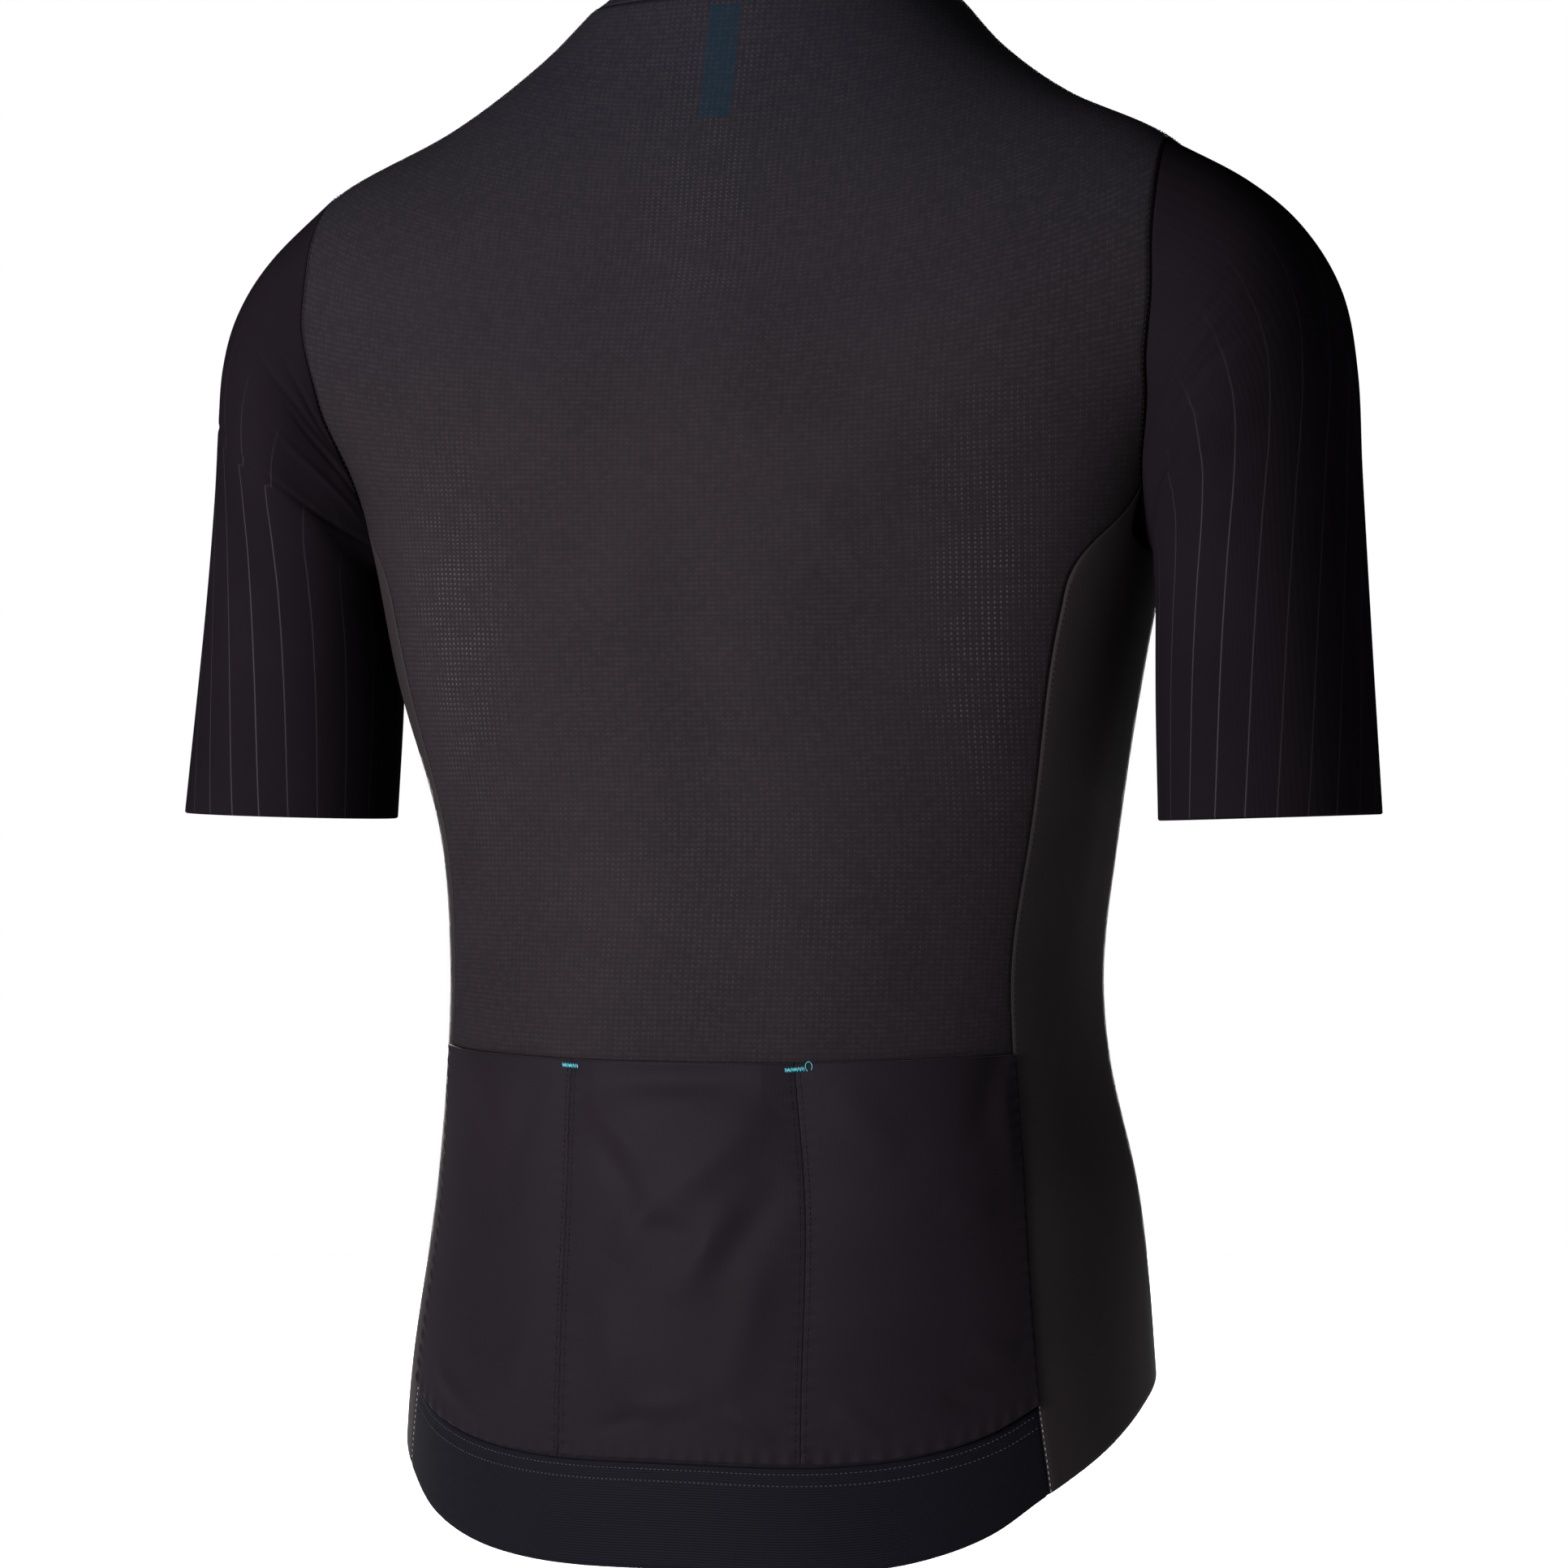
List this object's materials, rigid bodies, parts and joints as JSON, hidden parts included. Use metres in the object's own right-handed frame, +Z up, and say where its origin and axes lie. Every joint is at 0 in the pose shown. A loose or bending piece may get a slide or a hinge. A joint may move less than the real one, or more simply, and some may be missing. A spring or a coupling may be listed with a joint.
{
  "type": "cycling jersey",
  "caption": "Short-sleeved race-fit cycling jersey with a full front zip, low collar, dropped elastic back hem and back pockets, kept in its worn hollow form.",
  "frame": {"origin": "centre of the neck's base, midway between the two points where the neck meets the shoulders; the wearer's neck and shoulders hold the garment there", "axes": "+Z up the standing wearer, -Y the way the wearer faces, +X the wearer's left"},
  "size_m": [0.568, 0.2342, 0.711],
  "materials": {
    "rib_mesh": "fine cross-ribbed black knit with small eyelet mesh zones",
    "smooth_knit": "smooth black stretch knit with a soft sheen",
    "sleeve_knit": "smooth black stretch knit with thin pale pinstripes",
    "hem_elastic": "navy-black smooth elastic",
    "label_tape": "woven blue tape",
    "zip_tape": "black woven zip tape with a moulded chain",
    "zip_metal": "black lacquered die-cast metal"
  },
  "bodies": {
    "jersey": {"back_panel": "rib_mesh", "hem_band_back": "hem_elastic", "side_panel_left": "smooth_knit", "side_panel_right": "smooth_knit", "front_left": "rib_mesh", "front_right": "rib_mesh", "sleeve_left": "sleeve_knit", "sleeve_right": "sleeve_knit", "pocket_left": "smooth_knit", "pocket_centre": "smooth_knit", "pocket_right": "smooth_knit", "collar": "rib_mesh", "neck_label": "label_tape", "zip": "zip_tape", "zip_slider": "zip_metal"},
    "pull": {"zip_pull": "zip_metal"}
  },
  "joints": [
    {"name": "pull_swing", "type": "hinge", "parent": "jersey", "child": "pull", "pos_m": [0, -0.06287, -0.0305], "axis": [-1, 0, 0], "range_deg": [0, 150]}
  ]
}
